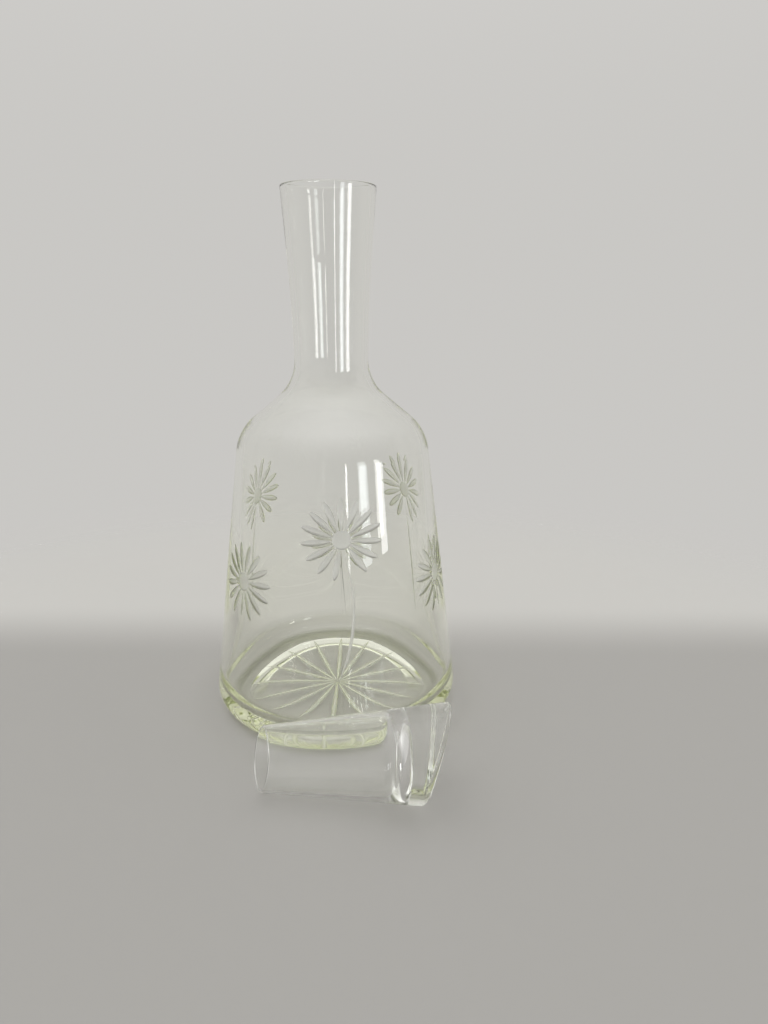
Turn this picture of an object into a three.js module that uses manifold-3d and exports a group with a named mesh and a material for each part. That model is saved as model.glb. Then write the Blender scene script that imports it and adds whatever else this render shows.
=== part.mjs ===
// A clear glass carafe with its stopper glass, in millimetres, +Z up.
//
// The carafe is one blown piece: a body that narrows from a rounded heel to a rounded shoulder, and a
// neck that opens towards a fire-polished rim. Its underside is hollowed inside a foot ring and cut with
// a star. The glass is a tapered tumbler whose thick base is ground on a slant. Mouth down in the neck it
// closes the carafe. Here it lies on its side in front of the carafe, on the same table.
//
// The origin is on the table, at the middle of the ground that the two pieces cover.

import * as THREE from 'three';
import { mergeVertices } from 'three/addons/utils/BufferGeometryUtils.js';
import Module from 'manifold-3d';

// Carafe, outside
const BODY_RADIUS = 60;
const BODY_HEIGHT = 135.8;
const BODY_TAPER = THREE.MathUtils.degToRad(7.35);
const HEEL_ROUNDING = 9.2;
const SHOULDER_RISE = 22.6;
const SHOULDER_ROUNDING = 20;
const NECK_RADIUS = 16.8;
const NECK_LENGTH = 82.6;
const NECK_ROOT_ROUNDING = 18;
const NECK_STRAIGHT = 23;
const RIM_RADIUS = 20.75;

// Carafe, thickness of the glass
const NECK_WALL = 2.2;
const SHOULDER_WALL = 2.6;
const BODY_WALL = 2.9;
const THICK_WALL = 6.5;
const THICK_WALL_HEIGHT = 36;
const THICK_WALL_ROUNDING = 240;
const FOOT_WALL = 4;
const BOTTOM_THICKNESS = 4.5;
const FLOOR_ROUNDING = 10;

// Carafe, underside
const FOOT_RING_WIDTH = 4.5;
const PUNT_DEPTH = 2.5;
const PUNT_SLOPE = 2.5;
const STAR_RAYS = 16;
const STAR_HUB = 2;
const STAR_MARGIN = 1.6;
const STAR_GROOVE_WIDTH = 1.8;
const STAR_GROOVE_DEPTH = 0.9;

// Stopper glass: its taper closes on the carafe's rim, and its mouth hangs free in the neck
const SEAT_CLEARANCE = 0.15;
const MOUTH_CLEARANCE = 1.23;
const SEAT_DEPTH = 53.5;
const GLASS_LENGTH = 73;
const GLASS_RIM_WALL = 1.1;
const GLASS_LOW_WALL = 2.9;
const GLASS_BASE_THICKNESS = 9.5;
const GLASS_FLOOR_ROUNDNESS = 0.76;
const GLASS_BASE_ROUNDING = 2.6;
const GLASS_BASE_SLANT = THREE.MathUtils.degToRad(18.7);

// Stopper glass, as it lies in front of the carafe
const LYING_GAP = 6.8;
const LYING_OFFSET = 25.7;
const LYING_YAW = THREE.MathUtils.degToRad(-5.2);
const LYING_ROLL = THREE.MathUtils.degToRad(171);

// Facets
const CARAFE_SIDES = 60;
const GLASS_SIDES = 44;
const ARC_STEP = THREE.MathUtils.degToRad(14);
const LIP_STEPS = 4;
const FLARE_STEPS = 6;

const wasm = await Module();
wasm.setup();

const point = (radius, height) => new THREE.Vector2(radius, height);

// The corner that faces `corner` from the far side of a wall. The wall lies to the left of the way from
// `before` to `after`, and is `wallBefore` thick on the run to the corner and `wallAfter` thick past it.
function facingCorner(before, corner, after, wallBefore, wallAfter) {
  const arriving = corner.clone().sub(before).normalize();
  const leaving = after.clone().sub(corner).normalize();
  const start = point(-arriving.y, arriving.x).multiplyScalar(wallBefore).add(corner);
  const end = point(-leaving.y, leaving.x).multiplyScalar(wallAfter).add(corner);
  const distance = end.sub(start).cross(leaving) / arriving.cross(leaving);
  return start.addScaledVector(arriving, distance);
}

// The points of the arc that rounds off the corner between two straight runs.
function roundedCorner(before, corner, after, rounding) {
  const back = before.clone().sub(corner).normalize();
  const ahead = after.clone().sub(corner).normalize();
  const turn = Math.PI - Math.acos(back.dot(ahead));
  const side = Math.sign(ahead.cross(back));
  const start = corner.clone().addScaledVector(back, rounding * Math.tan(turn / 2));
  const centre = point(back.y, -back.x).multiplyScalar(side * rounding).add(start);
  const steps = Math.max(2, Math.ceil(turn / ARC_STEP));
  const onArc = (_, step) => start.clone().rotateAround(centre, side * turn * step / steps);
  return Array.from({ length: steps + 1 }, onArc);
}

// The rounding of a corner, or as much of it as fits on the run from the corner to `after`.
function fittedRounding(before, corner, after, rounding) {
  const arriving = corner.clone().sub(before);
  const leaving = after.clone().sub(corner);
  return Math.min(rounding, leaving.length() / Math.tan(arriving.angleTo(leaving) / 2));
}

// A rounded lip: half a turn from the end of one wall to the end of the other.
function lip(from, to) {
  const centre = from.clone().lerp(to, 0.5);
  const onLip = (_, step) => from.clone().rotateAround(centre, Math.PI * step / LIP_STEPS);
  return Array.from({ length: LIP_STEPS + 1 }, onLip);
}

// A profile of radius against height, turned round the Z axis into a closed body.
function turned(profile, sides) {
  return new THREE.LatheGeometry(profile, sides).rotateX(Math.PI / 2);
}

function toSolid(geometry) {
  geometry.deleteAttribute('normal');
  geometry.deleteAttribute('uv');
  const welded = mergeVertices(geometry);
  const triVerts = [];
  for (let start = 0; start < welded.index.count; start += 3) {
    const triangle = [0, 1, 2].map((corner) => welded.index.getX(start + corner));
    if (new Set(triangle).size === 3) triVerts.push(...triangle);
  }
  return new wasm.Manifold(new wasm.Mesh({
    numProp: 3,
    vertProperties: welded.attributes.position.array,
    triVerts: new Uint32Array(triVerts),
  }));
}

function toGeometry(solid) {
  const { vertProperties, triVerts } = solid.getMesh();
  const geometry = new THREE.BufferGeometry();
  geometry.setAttribute('position', new THREE.BufferAttribute(vertProperties, 3));
  geometry.setIndex(new THREE.BufferAttribute(triVerts, 1));
  return geometry;
}

// The radius of the tapered body at a height. The taper runs on from the rounded heel.
function bodyRadius(height) {
  const reach = HEEL_ROUNDING - (height - HEEL_ROUNDING) * Math.sin(BODY_TAPER);
  return BODY_RADIUS - HEEL_ROUNDING + reach / Math.cos(BODY_TAPER);
}

// One side of the neck's wall: upright from its root, then opening towards the lip.
function neckSide(root, lipPoint) {
  const bend = point(root.x, root.y + NECK_STRAIGHT);
  return new THREE.QuadraticBezierCurve(root, bend, lipPoint).getPoints(FLARE_STEPS);
}

// The carafe's profile runs from the underside's middle up the outside, over the lip and down the inside.
function carafeProfile() {
  const footRadius = BODY_RADIUS - HEEL_ROUNDING;
  const footInside = footRadius - FOOT_RING_WIDTH;
  const rimHeight = BODY_HEIGHT + SHOULDER_RISE + NECK_LENGTH;
  const lipHeight = rimHeight - NECK_WALL / 2;
  const floorHeight = PUNT_DEPTH + BOTTOM_THICKNESS;
  const foot = point(footInside, 0);
  const heel = point(bodyRadius(0), 0);
  const shoulder = point(bodyRadius(BODY_HEIGHT), BODY_HEIGHT);
  const neckRoot = point(NECK_RADIUS, BODY_HEIGHT + SHOULDER_RISE);
  const neckTop = point(NECK_RADIUS, rimHeight);
  const heelArc = roundedCorner(foot, heel, shoulder, HEEL_ROUNDING);
  const shoulderArc = roundedCorner(heel, shoulder, neckRoot, SHOULDER_ROUNDING);
  const rootArc = roundedCorner(shoulder, neckRoot, neckTop, NECK_ROOT_ROUNDING);
  const outerLip = point(RIM_RADIUS, lipHeight);

  const floorMiddle = point(0, floorHeight);
  const floorEdge = point(bodyRadius(floorHeight) - FOOT_WALL, floorHeight);
  const thickWall = point(bodyRadius(THICK_WALL_HEIGHT) - THICK_WALL / Math.cos(BODY_TAPER), THICK_WALL_HEIGHT);
  const innerShoulder = facingCorner(heel, shoulder, neckRoot, BODY_WALL, SHOULDER_WALL);
  const innerRoot = facingCorner(shoulder, neckRoot, neckTop, SHOULDER_WALL, NECK_WALL);
  const innerTop = point(innerRoot.x, rimHeight);
  const innerRootArc = roundedCorner(innerTop, innerRoot, innerShoulder, NECK_ROOT_ROUNDING + NECK_WALL);
  const innerShoulderArc = roundedCorner(innerRoot, innerShoulder, thickWall, SHOULDER_ROUNDING - SHOULDER_WALL);
  const floorArc = roundedCorner(thickWall, floorEdge, floorMiddle, FLOOR_ROUNDING);
  const wallRounding = fittedRounding(innerShoulder, thickWall, floorArc[0], THICK_WALL_ROUNDING);
  const thickWallArc = roundedCorner(innerShoulder, thickWall, floorArc[0], wallRounding);
  const innerLip = point(RIM_RADIUS - NECK_WALL, lipHeight);

  return [
    point(0, PUNT_DEPTH),
    point(footInside - PUNT_SLOPE, PUNT_DEPTH),
    foot,
    ...heelArc,
    ...shoulderArc,
    ...rootArc.slice(0, -1),
    ...neckSide(rootArc.at(-1), outerLip).slice(0, -1),
    ...lip(outerLip, innerLip),
    ...neckSide(innerRootArc[0], innerLip).reverse().slice(1),
    ...innerRootArc.slice(1),
    ...innerShoulderArc,
    ...thickWallArc,
    ...floorArc,
    floorMiddle,
  ];
}

// One ray of the star: a slender groove, deepest and widest at its middle and pointed at both ends.
function starRay(turn) {
  const tip = BODY_RADIUS - HEEL_ROUNDING - FOOT_RING_WIDTH - PUNT_SLOPE - STAR_MARGIN;
  const length = tip - STAR_HUB;
  const ray = new THREE.OctahedronGeometry(0.5);
  ray.scale(length, STAR_GROOVE_WIDTH, 2 * STAR_GROOVE_DEPTH);
  ray.translate(STAR_HUB + length / 2, 0, PUNT_DEPTH);
  return ray.rotateZ(turn);
}

function carafeGeometry() {
  let glass = toSolid(turned(carafeProfile(), CARAFE_SIDES));
  for (let ray = 0; ray < STAR_RAYS; ray += 1) {
    glass = glass.subtract(toSolid(starRay(2 * Math.PI * ray / STAR_RAYS)));
  }
  return toGeometry(glass);
}

// Stopper glass: it stands mouth down on its own origin, as it does in the neck
const mouthRadius = NECK_RADIUS - NECK_WALL - MOUTH_CLEARANCE;
const seatRadius = RIM_RADIUS - NECK_WALL - SEAT_CLEARANCE;
const glassTaper = Math.atan2(seatRadius - mouthRadius, SEAT_DEPTH);
const cavityDepth = GLASS_LENGTH - GLASS_BASE_THICKNESS;
const glassRadius = (height) => mouthRadius + height * Math.tan(glassTaper);

// The glass's profile runs from the middle of its cavity, over the mouth and up the outside to its base.
function glassProfile() {
  const lipHeight = GLASS_RIM_WALL / 2;
  const floorMiddle = point(0, cavityDepth);
  const floorEdge = point(glassRadius(cavityDepth) - GLASS_LOW_WALL, cavityDepth);
  const innerLip = point(glassRadius(lipHeight) - GLASS_RIM_WALL, lipHeight);
  const outerLip = point(glassRadius(lipHeight), lipHeight);
  const baseEdge = point(glassRadius(GLASS_LENGTH), GLASS_LENGTH);
  const baseMiddle = point(0, GLASS_LENGTH);
  return [
    floorMiddle,
    ...roundedCorner(floorMiddle, floorEdge, innerLip, GLASS_FLOOR_ROUNDNESS * floorEdge.x),
    ...lip(innerLip, outerLip),
    ...roundedCorner(outerLip, baseEdge, baseMiddle, GLASS_BASE_ROUNDING),
    baseMiddle,
  ];
}

// Slants the base: its points slide along the glass's sides, so that the sides keep their taper.
function slantBase(geometry) {
  const places = geometry.attributes.position;
  for (let index = 0; index < places.count; index += 1) {
    const height = places.getZ(index);
    if (height <= cavityDepth) continue;
    const radius = glassRadius(height);
    const lean = Math.tan(GLASS_BASE_SLANT) * places.getX(index) / radius;
    const shift = lean * radius / (1 - lean * Math.tan(glassTaper));
    const spread = glassRadius(height + shift) / radius;
    places.setXYZ(index, places.getX(index) * spread, places.getY(index) * spread, height + shift);
  }
  return geometry;
}

function glassGeometry() {
  return toGeometry(toSolid(slantBase(turned(glassProfile(), GLASS_SIDES))));
}

const carafe = new THREE.Mesh(
  carafeGeometry(),
  new THREE.MeshStandardMaterial({ color: 0xdfe6dc, roughness: 0.05, metalness: 0 }),
);
carafe.name = 'carafe';

const tumbler = new THREE.Mesh(
  glassGeometry(),
  new THREE.MeshStandardMaterial({ color: 0xe4e8e3, roughness: 0.05, metalness: 0 }),
);
tumbler.name = 'tumbler';
tumbler.rotation.z = LYING_ROLL;

// The glass lies on its tapered side, so its axis rises towards the base by half the cone's angle.
const lyingGlass = new THREE.Group();
lyingGlass.rotation.y = Math.PI / 2 - glassTaper;
lyingGlass.position.z = mouthRadius * Math.cos(glassTaper);
lyingGlass.add(tumbler);

const inFront = new THREE.Group();
inFront.rotation.z = LYING_YAW;
inFront.position.set(-LYING_OFFSET, -(BODY_RADIUS + LYING_GAP + mouthRadius), 0);
inFront.add(lyingGlass);

const set = new THREE.Group();
set.add(carafe, inFront);
const ground = new THREE.Box3().setFromObject(set, true).getCenter(new THREE.Vector3());
set.position.set(-ground.x, -ground.y, 0);

export default set;
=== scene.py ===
from math import ceil, cos, pi, radians, sin, tan, tau

import bmesh
import bpy
from mathutils import Matrix, Vector


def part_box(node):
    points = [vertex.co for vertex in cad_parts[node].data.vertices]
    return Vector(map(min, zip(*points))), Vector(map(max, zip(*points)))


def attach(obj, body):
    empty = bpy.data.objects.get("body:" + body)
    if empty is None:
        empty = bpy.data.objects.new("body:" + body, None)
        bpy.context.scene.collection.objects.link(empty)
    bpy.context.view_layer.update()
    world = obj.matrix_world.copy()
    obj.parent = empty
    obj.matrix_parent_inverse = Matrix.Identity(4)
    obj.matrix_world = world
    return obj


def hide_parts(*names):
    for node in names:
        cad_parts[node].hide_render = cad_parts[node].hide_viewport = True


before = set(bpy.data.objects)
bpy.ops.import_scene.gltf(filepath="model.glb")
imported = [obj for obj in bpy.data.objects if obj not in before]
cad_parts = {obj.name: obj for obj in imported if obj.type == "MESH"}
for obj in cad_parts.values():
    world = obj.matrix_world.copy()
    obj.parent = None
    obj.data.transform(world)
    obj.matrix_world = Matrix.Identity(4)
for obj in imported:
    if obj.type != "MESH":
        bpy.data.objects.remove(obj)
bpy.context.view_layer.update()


# The carafe: one piece of clear, faintly olive glass, blown in a turned mould and fire-polished at the
# rim. Its wall is thickest a little above the heel and thins towards the neck. Its underside is hollowed
# inside a foot ring, with a wide gentle border.
carafe_low, carafe_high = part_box("carafe")
carafe_axis = Vector(((carafe_low.x + carafe_high.x) / 2, (carafe_low.y + carafe_high.y) / 2, 0))
body_radius = 0.060
body_taper = radians(7.35)
heel_rounding = 0.0092
shoulder_height = 0.1358
shoulder_rounding = 0.020
neck_root_height = 0.1584
neck_root_rounding = 0.018
neck_radius = 0.0168
neck_bend_height = 0.18975
neck_bend_rounding = 0.57
neck_wall = 0.0022
rim_radius = 0.02075
rim_height = carafe_high.z
lip_rounding = 0.00105
inside_root_height = 0.15685
inside_root_rounding = 0.0202
inside_shoulder_radius = 0.04096
inside_shoulder_height = 0.13475
inside_shoulder_rounding = 0.0174
thick_wall_radius = 0.05007
thick_wall_height = 0.036
thick_wall_rounding = 0.24
floor_radius = 0.05636
floor_height = 0.007
floor_rounding = 0.010
hollow_depth = 0.0023
hollow_flat_radius = 0.0346
hollow_rounding = 0.012
foot_inner_radius = 0.0438
foot_edge_rounding = 0.0008
carafe_sides = 160
arc_step = radians(8)
fewest_arc_steps = 6
weld_distance = 0.000001


def body_wall_radius(height):
    """The outer radius of the tapered body at a height."""
    reach = heel_rounding - (height - heel_rounding) * sin(body_taper)
    return body_radius - heel_rounding + reach / cos(body_taper)


def turned_glass(section, sides):
    """A closed body turned round the Z axis from its half section of (radius, height, rounding)."""
    bm = bmesh.new()
    corners = [Vector((radius, 0, height)) for radius, height, rounding in section]
    posts = [bm.verts.new(corner) for corner in corners]
    for post, following in zip(posts, posts[1:]):
        bm.edges.new((post, following))
    for place in range(1, len(corners) - 1):
        rounding = section[place][2]
        turn = (corners[place] - corners[place - 1]).angle(corners[place + 1] - corners[place])
        arc_steps = max(fewest_arc_steps, ceil(turn / arc_step))
        bmesh.ops.bevel(bm, geom=[posts[place]], offset=rounding * tan(turn / 2), offset_type="OFFSET",
                        segments=arc_steps, profile=0.5, affect="VERTICES", material=-1)
    bmesh.ops.spin(bm, geom=bm.verts[:] + bm.edges[:], cent=(0, 0, 0), axis=(0, 0, 1), dvec=(0, 0, 0),
                   angle=tau, steps=sides, use_merge=True)
    bmesh.ops.remove_doubles(bm, verts=bm.verts[:], dist=weld_distance)
    bmesh.ops.recalc_face_normals(bm, faces=bm.faces[:])
    return bm


def finished_object(name, bm):
    """A smooth-shaded object from a bmesh, with a face layer that says where its surface is ground."""
    mesh = bpy.data.meshes.new(name)
    bm.to_mesh(mesh)
    bm.free()
    mesh.shade_smooth()
    if "ground" not in mesh.attributes:
        mesh.attributes.new("ground", "FLOAT", "FACE")
    piece = bpy.data.objects.new(name, mesh)
    bpy.context.scene.collection.objects.link(piece)
    return piece


carafe_section = (
    (0, hollow_depth, 0),
    (hollow_flat_radius, hollow_depth, hollow_rounding),
    (foot_inner_radius, 0, foot_edge_rounding),
    (body_wall_radius(0), 0, heel_rounding),
    (body_wall_radius(shoulder_height), shoulder_height, shoulder_rounding),
    (neck_radius, neck_root_height, neck_root_rounding),
    (neck_radius, neck_bend_height, neck_bend_rounding),
    (rim_radius, rim_height, lip_rounding),
    (rim_radius - neck_wall, rim_height, lip_rounding),
    (neck_radius - neck_wall, neck_bend_height, neck_bend_rounding),
    (neck_radius - neck_wall, inside_root_height, inside_root_rounding),
    (inside_shoulder_radius, inside_shoulder_height, inside_shoulder_rounding),
    (thick_wall_radius, thick_wall_height, thick_wall_rounding),
    (floor_radius, floor_height, floor_rounding),
    (0, floor_height, 0),
)
carafe_blank = turned_glass(carafe_section, carafe_sides)
bmesh.ops.translate(carafe_blank, verts=carafe_blank.verts[:], vec=carafe_axis)
carafe = finished_object("carafe_glass", carafe_blank)


# The daisies: six flowers ground into the outside of the body with a narrow wheel, three high and three
# low, turn about. Each has a round eye, long pointed petals and a curved stem, all left matte.
petal_places = 15
petal_inner_end = 0.0036
petal_tip = 0.0180
petal_width = 0.0030
petal_depth = 0.0007
petal_swelling = 0.68
petal_point = 0.1
petal_facets = (16, 20)
eye_radius = 0.0042
eye_depth = 0.0004
eye_facets = (32, 12)
stem_start = 1.03 * eye_radius
stem_width = 0.0014
stem_depth = 0.0004
stem_swelling = 0.7
stem_point = 0.25
stem_facets = (12, 40)
daisy_coarseness = 0.6
# azimuth from the front, height of the eye and turn of the petals, then the stem's length, bow and drift
daisies = (
    (radians(7.5), 0.098, radians(12), 0.060, 0.0060, -0.0032),
    (radians(128.5), 0.0993, 0, 0.066, -0.0010, -0.0050),
    (radians(-115), 0.098, 0, 0.062, 0.0030, 0.0030),
    (radians(-49), 0.073, 0, 0.012, 0.0004, 0),
    (radians(68), 0.072, 0, 0.012, -0.0004, 0),
    (radians(179.9), 0.0609, radians(-12), 0.012, 0.0004, 0),
)


def groove(bm, length, width, depth, swelling, sharpness, facets):
    """A slender pointed body along Y from the origin, whose lower half is the groove that a wheel leaves."""
    around, along = facets
    made = bmesh.ops.create_uvsphere(bm, u_segments=around, v_segments=along, radius=1)["verts"]
    for vert in made:
        taper = (1 - min(1, vert.co.z ** 2)) ** sharpness
        share = max(0, (1 + vert.co.z) / 2) ** swelling
        vert.co = Vector((vert.co.x * taper, share, vert.co.y * taper))
    bmesh.ops.scale(bm, verts=made, vec=(width / 2, length, depth))
    return made


def onto_body(verts, azimuth, height):
    """Wraps flat work, drawn in X and Y round a point on the body, onto the tapered wall."""
    for vert in verts:
        along = height + vert.co.y * cos(body_taper)
        radius = body_wall_radius(along)
        angle = azimuth + vert.co.x / radius
        out = radius + vert.co.z * cos(body_taper)
        up = along + vert.co.z * sin(body_taper)
        vert.co = carafe_axis + Vector((out * sin(angle), -out * cos(angle), up))


def grind(piece, cutter_bm, coarseness):
    """Takes a cutter's shape out of a piece and marks on the new faces how coarse the wheel left them."""
    bmesh.ops.recalc_face_normals(cutter_bm, faces=cutter_bm.faces[:])
    cutter = finished_object("grinding_wheel", cutter_bm)
    for mark in cutter.data.attributes["ground"].data:
        mark.value = coarseness
    cut = piece.modifiers.new("grinding", "BOOLEAN")
    cut.operation = "DIFFERENCE"
    cut.solver = "MANIFOLD"
    cut.object = cutter
    ready = piece.evaluated_get(bpy.context.evaluated_depsgraph_get())
    ground_mesh = bpy.data.meshes.new_from_object(ready)
    piece.modifiers.clear()
    piece.data = ground_mesh
    bpy.data.objects.remove(cutter)


petals = bmesh.new()
eyes_and_stems = bmesh.new()
petal_length = petal_tip - petal_inner_end
for azimuth, height, petal_turn, stem_length, stem_bow, stem_drift in daisies:
    flower = []
    for place in range(1, petal_places):
        petal = groove(
            petals, petal_length, petal_width, petal_depth, petal_swelling, petal_point, petal_facets)
        bmesh.ops.translate(petals, verts=petal, vec=(0, petal_inner_end, 0))
        turn = Matrix.Rotation(pi + petal_turn + tau * place / petal_places, 3, "Z")
        bmesh.ops.rotate(petals, verts=petal, cent=(0, 0, 0), matrix=turn)
        flower += petal
    onto_body(flower, azimuth, height)
    eye = bmesh.ops.create_uvsphere(
        eyes_and_stems, u_segments=eye_facets[0], v_segments=eye_facets[1], radius=1)["verts"]
    bmesh.ops.scale(eyes_and_stems, verts=eye, vec=(eye_radius, eye_radius, eye_depth))
    stem = groove(
        eyes_and_stems, stem_length, stem_width, stem_depth, stem_swelling, stem_point, stem_facets)
    for vert in stem:
        share = vert.co.y / stem_length
        vert.co.x += 4 * stem_bow * share * (1 - share) + stem_drift * share
        vert.co.y = -stem_start - stem_length * share
    onto_body(eye + stem, azimuth, height)
grind(carafe, petals, daisy_coarseness)
grind(carafe, eyes_and_stems, daisy_coarseness)


# The star: sixteen long rays ground with a mitre wheel into the hollowed underside, from the middle down
# its border nearly to the foot ring, to hide the mark of the blowing iron.
star_rays = 16
ray_inner_end = 0.0008
ray_tip = 0.0430
ray_width = 0.0023
ray_depth = 0.0009
ray_swelling = 1
ray_point = 0.25
ray_facets = (12, 24)
star_coarseness = 1


def hollow_height(radius):
    """The height of the hollowed underside at a radius: flat in the middle, then sloping to the foot ring."""
    down_slope = max(0, radius - hollow_flat_radius) / (foot_inner_radius - hollow_flat_radius)
    return hollow_depth * (1 - down_slope)


star = bmesh.new()
for place in range(star_rays):
    ray = groove(star, ray_tip - ray_inner_end, ray_width, ray_depth, ray_swelling, ray_point, ray_facets)
    bmesh.ops.translate(star, verts=ray, vec=(0, ray_inner_end, 0))
    turn = Matrix.Rotation(tau * place / star_rays, 3, "Z")
    bmesh.ops.rotate(star, verts=ray, cent=(0, 0, 0), matrix=turn)
for vert in star.verts:
    vert.co.z += hollow_height(vert.co.xy.length)
bmesh.ops.translate(star, verts=star.verts[:], vec=carafe_axis)
grind(carafe, star, star_coarseness)


# The carafe's finish: glass polished by the fire, with an olive tint in its depth, a slight ripple from
# the blowing and the smudges of a wiping cloth. Where the wheel has cut it, it is matte.
wall_tolerance = 0.00003
smudge_turn = (0.3, 0, 0.5)
smudge_scale = (26, 26, 11)
smudge_start = 0.48
smudge_end = 0.78
ripple_scale = (70, 70, 16)
grain_scale = 5200
grain_low = 0.3
grain_high = 0.7
grain_depth = 0.00003
matte_from = 0.3
matte_roughness_low = 0.3
matte_roughness_high = 0.5
matte_colour = (0.97, 0.97, 0.965, 1)
polished_colour = (0.995, 0.997, 0.992, 1)
glass_ior = 1.52
carafe_tint = (0.885, 0.91, 0.69, 1)
carafe_tint_density = 18
carafe_smear_roughness = 0.03
carafe_ripple_depth = 0.00003


def smooth_wall(piece):
    """Keeps each cut's rim crisp and gives the tapered wall round it the wall's own even normals."""
    bm = bmesh.new()
    bm.from_mesh(piece.data)
    ground_layer = bm.faces.layers.float["ground"]
    for edge in bm.edges:
        edge.smooth = len({face[ground_layer] > 0 for face in edge.link_faces}) == 1
    bm.to_mesh(piece.data)
    bm.free()
    mesh = piece.data
    normals = [Vector((0, 0, 0)) for loop in mesh.loops]
    for face in mesh.polygons:
        places = [mesh.vertices[index].co - carafe_axis for index in face.vertices]
        on_wall = all(abs(place.xy.length - body_wall_radius(place.z)) < wall_tolerance for place in places)
        if on_wall and mesh.attributes["ground"].data[face.index].value == 0:
            for loop_index, place in zip(face.loop_indices, places):
                outwards = place.xy.normalized() * cos(body_taper)
                normals[loop_index] = Vector((outwards.x, outwards.y, sin(body_taper)))
    mesh.normals_split_custom_set(normals)


def add_node(tree, kind, values=(), **settings):
    """A shader node with its own settings and plain or linked values on its named inputs."""
    node = tree.nodes.new(kind)
    for setting, value in settings.items():
        setattr(node, setting, value)
    for socket, value in dict(values).items():
        if isinstance(value, bpy.types.NodeSocket):
            tree.links.new(value, node.inputs[socket])
        else:
            node.inputs[socket].default_value = value
    return node


def blown_glass_marks():
    """Marks that both pieces carry: wiped smudges, the ripple of blown glass, the grain of a ground face."""
    group = bpy.data.node_groups.new("blown_glass_marks", "ShaderNodeTree")
    for output in ("Smudge", "Ripple", "Grain"):
        group.interface.new_socket(output, in_out="OUTPUT", socket_type="NodeSocketFloat")
    place = add_node(group, "ShaderNodeTexCoord").outputs["Object"]
    wiped = add_node(group, "ShaderNodeMapping", {
        "Vector": place, "Rotation": smudge_turn, "Scale": smudge_scale})
    smear = add_node(group, "ShaderNodeTexNoise", {
        "Vector": wiped.outputs["Vector"], "Scale": 1, "Detail": 5, "Roughness": 0.62, "Distortion": 0.8})
    smudge = add_node(group, "ShaderNodeMapRange", {
        "Value": smear.outputs["Fac"], "From Min": smudge_start, "From Max": smudge_end})
    drawn = add_node(group, "ShaderNodeMapping", {"Vector": place, "Scale": ripple_scale})
    ripple = add_node(group, "ShaderNodeTexNoise", {
        "Vector": drawn.outputs["Vector"], "Scale": 1, "Detail": 1, "Roughness": 0.4})
    grain = add_node(group, "ShaderNodeTexNoise", {
        "Vector": place, "Scale": grain_scale, "Detail": 3, "Roughness": 0.7})
    add_node(group, "NodeGroupOutput", {
        "Smudge": smudge.outputs["Result"], "Ripple": ripple.outputs["Fac"], "Grain": grain.outputs["Fac"]})
    return group


def clear_glass(name, tint, tint_density, smear_roughness, ripple_depth):
    """Clear glass with a faint tint in its depth. Faces that the layer marks as ground are matte."""
    material = bpy.data.materials.new(name)
    material.use_nodes = True
    tree = material.node_tree
    tree.nodes.clear()
    marks = add_node(tree, "ShaderNodeGroup", node_tree=marks_group)
    coarseness = add_node(tree, "ShaderNodeAttribute", attribute_name="ground").outputs["Fac"]
    ground_mask = add_node(tree, "ShaderNodeMath", {0: coarseness, 1: matte_from}, operation="GREATER_THAN")
    ground = ground_mask.outputs["Value"]
    polished = add_node(tree, "ShaderNodeMapRange", {
        "Value": marks.outputs["Smudge"], "To Min": 0, "To Max": smear_roughness})
    matte = add_node(tree, "ShaderNodeMapRange", {
        "Value": marks.outputs["Grain"], "From Min": grain_low, "From Max": grain_high,
        "To Min": matte_roughness_low, "To Max": matte_roughness_high})
    roughness = add_node(tree, "ShaderNodeMix", {
        "Factor": ground, "A": polished.outputs["Result"], "B": matte.outputs["Result"]})
    colour = add_node(tree, "ShaderNodeMix", {"Factor": ground}, data_type="RGBA")
    colour.inputs["A"].default_value = polished_colour
    colour.inputs["B"].default_value = matte_colour
    ripples = add_node(tree, "ShaderNodeBump", {
        "Height": marks.outputs["Ripple"], "Distance": ripple_depth, "Strength": 1})
    grain_height = add_node(tree, "ShaderNodeMath", {
        0: marks.outputs["Grain"], 1: ground}, operation="MULTIPLY")
    grains = add_node(tree, "ShaderNodeBump", {
        "Height": grain_height.outputs["Value"], "Distance": grain_depth, "Strength": 1,
        "Normal": ripples.outputs["Normal"]})
    shader = add_node(tree, "ShaderNodeBsdfPrincipled", {
        "Base Color": colour.outputs["Result"], "Roughness": roughness.outputs["Result"], "IOR": glass_ior,
        "Transmission Weight": 1, "Normal": grains.outputs["Normal"]})
    depth = add_node(tree, "ShaderNodeVolumeAbsorption", {"Color": tint, "Density": tint_density})
    add_node(tree, "ShaderNodeOutputMaterial", {
        "Surface": shader.outputs["BSDF"], "Volume": depth.outputs["Volume"]})
    return material


smooth_wall(carafe)
marks_group = blown_glass_marks()
carafe_clear_glass = clear_glass(
    "carafe_clear_glass", carafe_tint, carafe_tint_density, carafe_smear_roughness, carafe_ripple_depth)
carafe.data.materials.clear()
carafe.data.materials.append(carafe_clear_glass)
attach(carafe, "carafe")
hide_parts("carafe")


# The bloom on the cuts: the thin skin of crushed glass that the wheel leaves. The daisies were ground with a
# fine wheel, the star with a coarse one; on the same ground glass the daisies' grey is painted shade and the
# star's whiter cream painted light, and flanks that face up carry painted shade. The glass shows through
# both.
bloom_lift = 0.00002
bloom_roughness = 0.8
coarseness_tolerance = 0.1
ledge_start = 0.2
ledge_end = 0.6
# painted shade: the dark grey that the skin takes on where its flanks face up
painted_shade_grey = (0.22, 0.215, 0.20, 1)
# the daisies' grey is painted shade, darker than the star's cream on the same ground glass
daisy_shade = (0.74, 0.74, 0.71, 1)
daisy_tone = (0.84, 0.84, 0.81, 1)
daisy_cover = (0.4, 0.65)
# the star's cream is painted light, lighter than the daisies' grey on the same ground glass
star_shade = (0.86, 0.85, 0.80, 1)
star_tone = (0.95, 0.94, 0.90, 1)
star_cover = (0.55, 0.8)


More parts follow.
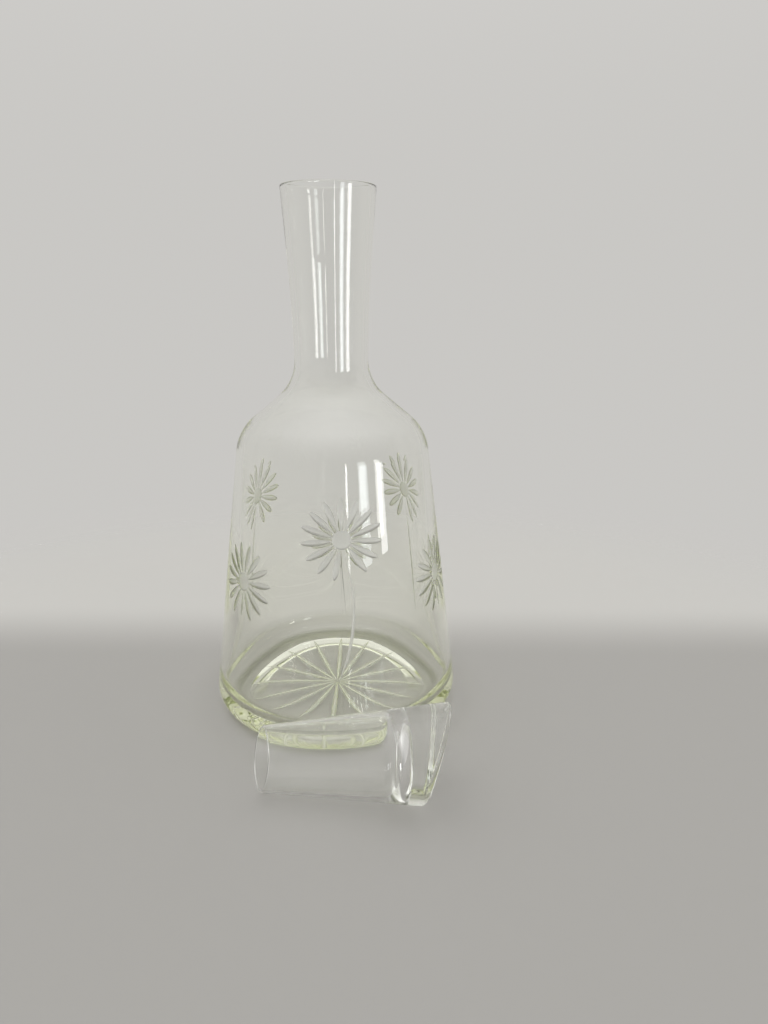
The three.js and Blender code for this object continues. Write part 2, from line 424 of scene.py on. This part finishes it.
def bloom(name, glass, coarseness, shade, tone, cover):
    """A skin over a glass's cuts of one coarseness, in two tones, from thin to dense, with painted shade
    where it faces up.
    """
    skin = bmesh.new()
    skin.from_mesh(glass.data)
    ground_layer = skin.faces.layers.float["ground"]
    others = [face for face in skin.faces if abs(face[ground_layer] - coarseness) > coarseness_tolerance]
    bmesh.ops.delete(skin, geom=others, context="FACES")
    skin.normal_update()
    ledge_layer = skin.verts.layers.float.new("ledge")
    for vert in skin.verts:
        vert[ledge_layer] = vert.normal.z
        vert.co += vert.normal * bloom_lift
    piece = finished_object(name, skin)
    material = bpy.data.materials.new(name)
    material.use_nodes = True
    tree = material.node_tree
    tree.nodes.clear()
    thin, dense = cover
    grain = add_node(tree, "ShaderNodeGroup", node_tree=marks_group).outputs["Grain"]
    covered = add_node(tree, "ShaderNodeMapRange", {
        "Value": grain, "From Min": grain_low, "From Max": grain_high, "To Min": thin, "To Max": dense})
    colour = add_node(tree, "ShaderNodeMix", {"Factor": grain}, data_type="RGBA")
    colour.inputs["A"].default_value = shade
    colour.inputs["B"].default_value = tone
    ledge = add_node(tree, "ShaderNodeAttribute", attribute_name="ledge").outputs["Fac"]
    # painted shade: the colour turns to the dark grey as the skin's normal turns upwards
    up_facing_shade = add_node(tree, "ShaderNodeMapRange", {
        "Value": ledge, "From Min": ledge_start, "From Max": ledge_end}, interpolation_type="SMOOTHSTEP")
    shaded_colour = add_node(tree, "ShaderNodeMix", {"Factor": up_facing_shade.outputs["Result"]}, data_type="RGBA")
    tree.links.new(colour.outputs["Result"], shaded_colour.inputs["A"])
    shaded_colour.inputs["B"].default_value = painted_shade_grey
    shader = add_node(tree, "ShaderNodeBsdfPrincipled", {
        "Base Color": shaded_colour.outputs["Result"], "Roughness": bloom_roughness,
        "Alpha": covered.outputs["Result"]})
    add_node(tree, "ShaderNodeOutputMaterial", {"Surface": shader.outputs["BSDF"]})
    piece.data.materials.append(material)
    return piece


daisy_bloom = bloom("daisy_bloom", carafe, daisy_coarseness, daisy_shade, daisy_tone, daisy_cover)
star_bloom = bloom("star_bloom", carafe, star_coarseness, star_shade, star_tone, star_cover)
for cut_skin in (daisy_bloom, star_bloom):
    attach(cut_skin, "carafe")


# The stopper glass: a tapered tumbler of clear glass, thin at the mouth, with a thick base ground off on
# a slant and polished. Mouth down it closes the carafe's neck; here it lies loose on its side.
mouth_radius = 0.01337
glass_taper = radians(5.37)
glass_length = 0.073
cavity_depth = 0.0635
mouth_wall = 0.0011
low_wall = 0.0029
mouth_lip_rounding = 0.0005
cavity_rounding = 0.0125
base_rounding = 0.0026
base_slant = radians(18.7)
lying_offset = 0.0257
lying_gap = 0.0068
lying_yaw = radians(-5.2)
lying_roll = radians(171)
tumbler_sides = 128
tumbler_tint = (0.92, 0.94, 0.87, 1)
tumbler_tint_density = 6
tumbler_smear_roughness = 0.03
tumbler_ripple_depth = 0.00002
# the lip's skin is a near-white painted highlight for the rim's bright line; the glass under it stays
# polished
lip_highlight_mark = 0.2
lip_highlight_dim = (0.93, 0.93, 0.91, 1)
lip_highlight_bright = (0.98, 0.98, 0.97, 1)
lip_highlight_cover = (0.75, 0.95)


def glass_radius(height):
    """The outer radius of the stopper glass at a distance from its mouth."""
    return mouth_radius + height * tan(glass_taper)


tumbler_section = (
    (0, cavity_depth, 0),
    (glass_radius(cavity_depth) - low_wall, cavity_depth, cavity_rounding),
    (mouth_radius - mouth_wall, 0, mouth_lip_rounding),
    (mouth_radius, 0, mouth_lip_rounding),
    (glass_radius(glass_length), glass_length, base_rounding),
    (0, glass_length, 0),
)
tumbler_blank = turned_glass(tumbler_section, tumbler_sides)
for vert in tumbler_blank.verts:
    if vert.co.z > cavity_depth + base_rounding:
        lean = tan(base_slant) * vert.co.x
        slide = lean / (1 - lean / glass_radius(vert.co.z) * tan(glass_taper))
        spread = glass_radius(vert.co.z + slide) / glass_radius(vert.co.z)
        vert.co = Vector((vert.co.x * spread, vert.co.y * spread, vert.co.z + slide))
# marks the lip for its painted highlight
lip_layer = tumbler_blank.faces.layers.float.new("ground")
for face in tumbler_blank.faces:
    if max(vert.co.z for vert in face.verts) < mouth_lip_rounding:
        face[lip_layer] = lip_highlight_mark
mouth_place = carafe_axis + Vector((-lying_offset, -body_radius - lying_gap - mouth_radius, 0))
on_its_side = (
    Matrix.Translation(mouth_place)
    @ Matrix.Rotation(lying_yaw, 4, "Z")
    @ Matrix.Translation((0, 0, mouth_radius * cos(glass_taper)))
    @ Matrix.Rotation(pi / 2 - glass_taper, 4, "Y")
    @ Matrix.Rotation(lying_roll, 4, "Z")
)
bmesh.ops.transform(tumbler_blank, matrix=on_its_side, verts=tumbler_blank.verts[:])
tumbler = finished_object("stopper_glass", tumbler_blank)
stopper_clear_glass = clear_glass(
    "stopper_clear_glass", tumbler_tint, tumbler_tint_density, tumbler_smear_roughness, tumbler_ripple_depth)
tumbler.data.materials.append(stopper_clear_glass)
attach(tumbler, "tumbler")
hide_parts("tumbler")
# a near-white painted highlight on the lip
lip_painted_highlight = bloom("lip_painted_highlight", tumbler, lip_highlight_mark, lip_highlight_dim, lip_highlight_bright, lip_highlight_cover)
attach(lip_painted_highlight, "tumbler")


# The stage: a plain pale round floor of graded paper, lighter behind the carafe, which fades at its edge
# into the light round it.
stage_middle = Vector((0, -0.10, 0))
stage_radius = 0.5
stage_sides = 96
stage_fade_start = 0.3
stage_gap = 0.0003
stage_front_colour = (0.43, 0.42, 0.405, 1)
stage_back_colour = (0.627, 0.618, 0.596, 1)
stage_grade_start = 0.055
stage_grade_end = 0.125
stage_roughness = 0.9
stage_shine = 0.1
stage_bm = bmesh.new()
bmesh.ops.create_circle(stage_bm, cap_ends=True, radius=stage_radius, segments=stage_sides)
bmesh.ops.translate(stage_bm, verts=stage_bm.verts[:], vec=stage_middle - Vector((0, 0, stage_gap)))
stage_mesh = bpy.data.meshes.new("stage_floor")
stage_bm.to_mesh(stage_mesh)
stage_bm.free()
stage_floor = bpy.data.objects.new("stage_floor", stage_mesh)
bpy.context.scene.collection.objects.link(stage_floor)
stage_paint = bpy.data.materials.new("stage_paint")
stage_paint.use_nodes = True
paint_nodes = stage_paint.node_tree
paint = paint_nodes.nodes["Principled BSDF"]
paint.inputs["Roughness"].default_value = stage_roughness
paint.inputs["Specular IOR Level"].default_value = stage_shine
on_floor = add_node(paint_nodes, "ShaderNodeTexCoord").outputs["Object"]
across_floor = add_node(paint_nodes, "ShaderNodeSeparateXYZ", {"Vector": on_floor})
behind = add_node(paint_nodes, "ShaderNodeMapRange", {
    "Value": across_floor.outputs["Y"], "From Min": stage_grade_start, "From Max": stage_grade_end},
    interpolation_type="SMOOTHSTEP")
graded = add_node(paint_nodes, "ShaderNodeMix", {"Factor": behind.outputs["Result"]}, data_type="RGBA")
graded.inputs["A"].default_value = stage_front_colour
graded.inputs["B"].default_value = stage_back_colour
paint_nodes.links.new(graded.outputs["Result"], paint.inputs["Base Color"])
from_middle = add_node(paint_nodes, "ShaderNodeVectorMath", {
    0: on_floor, 1: stage_middle}, operation="DISTANCE")
solid_share = add_node(paint_nodes, "ShaderNodeMapRange", {
    "Value": from_middle.outputs["Value"], "From Min": stage_radius, "From Max": stage_fade_start},
    interpolation_type="SMOOTHSTEP")
paint_nodes.links.new(solid_share.outputs["Result"], paint.inputs["Alpha"])
stage_mesh.materials.append(stage_paint)


# The light: a tall window of narrow panes at the right of the camera, a soft light overhead, and a room
# light all round, dimmer on the window's side.
window_distance = 4
window_height = 0.1
window_bottom = radians(-7.8)
window_top = radians(10)
# direction to the right of the camera, width, brightness and colour of each pane
panes = (
    (radians(18.5), radians(1.5), 9, (1, 1, 1)),
    (radians(37.5), radians(9.5), 5.5, (0.92, 0.98, 1)),
    (radians(57.5), radians(7.5), 8, (1, 1, 1)),
)
far_wall_colour = (0.585, 0.575, 0.555, 1)
window_wall_colour = (0.27, 0.265, 0.26, 1)
left_wall_colour = (0.56, 0.55, 0.53, 1)
ceiling_colour = (1.6, 1.6, 1.58, 1)
ceiling_falloff = 3
near_walls_start = 0.3
near_walls_end = -0.6
left_wall_start = 0.3
left_wall_end = -0.7


def lamp(name, place, aim, width, height, brightness, colour):
    """A rectangular lamp that faces a point, of the same brightness as its pane would show."""
    light = bpy.data.lights.new(name, "AREA")
    light.color = colour
    light.shape = "RECTANGLE"
    light.size = width
    light.size_y = height
    light.energy = brightness * width * height * pi
    holder = bpy.data.objects.new(name, light)
    holder.location = place
    holder.rotation_euler = (Vector(aim) - Vector(place)).to_track_quat("-Z", "Y").to_euler()
    bpy.context.scene.collection.objects.link(holder)


pane_bottom = window_distance * tan(window_bottom)
pane_top = window_distance * tan(window_top)
pane_aim = carafe_axis + Vector((0, 0, window_height + (pane_bottom + pane_top) / 2))
for number, (direction, width, brightness, colour) in enumerate(panes):
    place = pane_aim + Vector((window_distance * sin(direction), -window_distance * cos(direction), 0))
    lamp(f"window_pane_{number}", place, pane_aim, window_distance * width, pane_top - pane_bottom,
         brightness, colour)

world = bpy.data.worlds.new("room_light")
world.use_nodes = True
room = world.node_tree
outlook = add_node(room, "ShaderNodeTexCoord").outputs["Generated"]
heading = add_node(room, "ShaderNodeSeparateXYZ", {"Vector": outlook})
towards_viewer = add_node(room, "ShaderNodeMapRange", {
    "Value": heading.outputs["Y"], "From Min": near_walls_start, "From Max": near_walls_end},
    interpolation_type="SMOOTHSTEP")
to_the_left = add_node(room, "ShaderNodeMapRange", {
    "Value": heading.outputs["X"], "From Min": left_wall_start, "From Max": left_wall_end},
    interpolation_type="SMOOTHSTEP")
upwards = add_node(room, "ShaderNodeMath", {0: heading.outputs["Z"], 1: 0}, operation="MAXIMUM")
overhead = add_node(room, "ShaderNodeMath", {
    0: upwards.outputs["Value"], 1: ceiling_falloff}, operation="POWER")
near_walls = add_node(room, "ShaderNodeMix", {"Factor": to_the_left.outputs["Result"]}, data_type="RGBA")
near_walls.inputs["A"].default_value = window_wall_colour
near_walls.inputs["B"].default_value = left_wall_colour
walls = add_node(room, "ShaderNodeMix", {"Factor": towards_viewer.outputs["Result"]}, data_type="RGBA")
walls.inputs["A"].default_value = far_wall_colour
room.links.new(near_walls.outputs["Result"], walls.inputs["B"])
ceiling = add_node(room, "ShaderNodeMix", {"Factor": overhead.outputs["Value"]}, data_type="RGBA")
room.links.new(walls.outputs["Result"], ceiling.inputs["A"])
ceiling.inputs["B"].default_value = ceiling_colour
room.links.new(ceiling.outputs["Result"], room.nodes["Background"].inputs["Color"])
bpy.context.scene.world = world


# The camera: in front of the set, a little above the shoulder, looking down. Light is followed through
# many bounces, because it runs a long way inside the glass.
camera_sensor = 36
camera_lens = 26.16
camera_offset = Vector((0.0241, -0.3436, 0.2037))
camera_tilt = radians(72.49)
camera_roll = radians(0.14)
camera_data = bpy.data.cameras.new("camera")
camera_data.sensor_width = camera_sensor
camera_data.lens = camera_lens
camera = bpy.data.objects.new("camera", camera_data)
camera.matrix_world = (
    Matrix.Translation(carafe_axis + camera_offset)
    @ Matrix.Rotation(camera_tilt, 4, "X")
    @ Matrix.Rotation(camera_roll, 4, "Z")
)
bpy.context.scene.collection.objects.link(camera)
bpy.context.scene.camera = camera
bpy.context.scene.view_settings.view_transform = "Standard"
bpy.context.scene.cycles.max_bounces = 64
bpy.context.scene.cycles.transmission_bounces = 48
bpy.context.scene.cycles.glossy_bounces = 48
bpy.context.scene.cycles.blur_glossy = 0
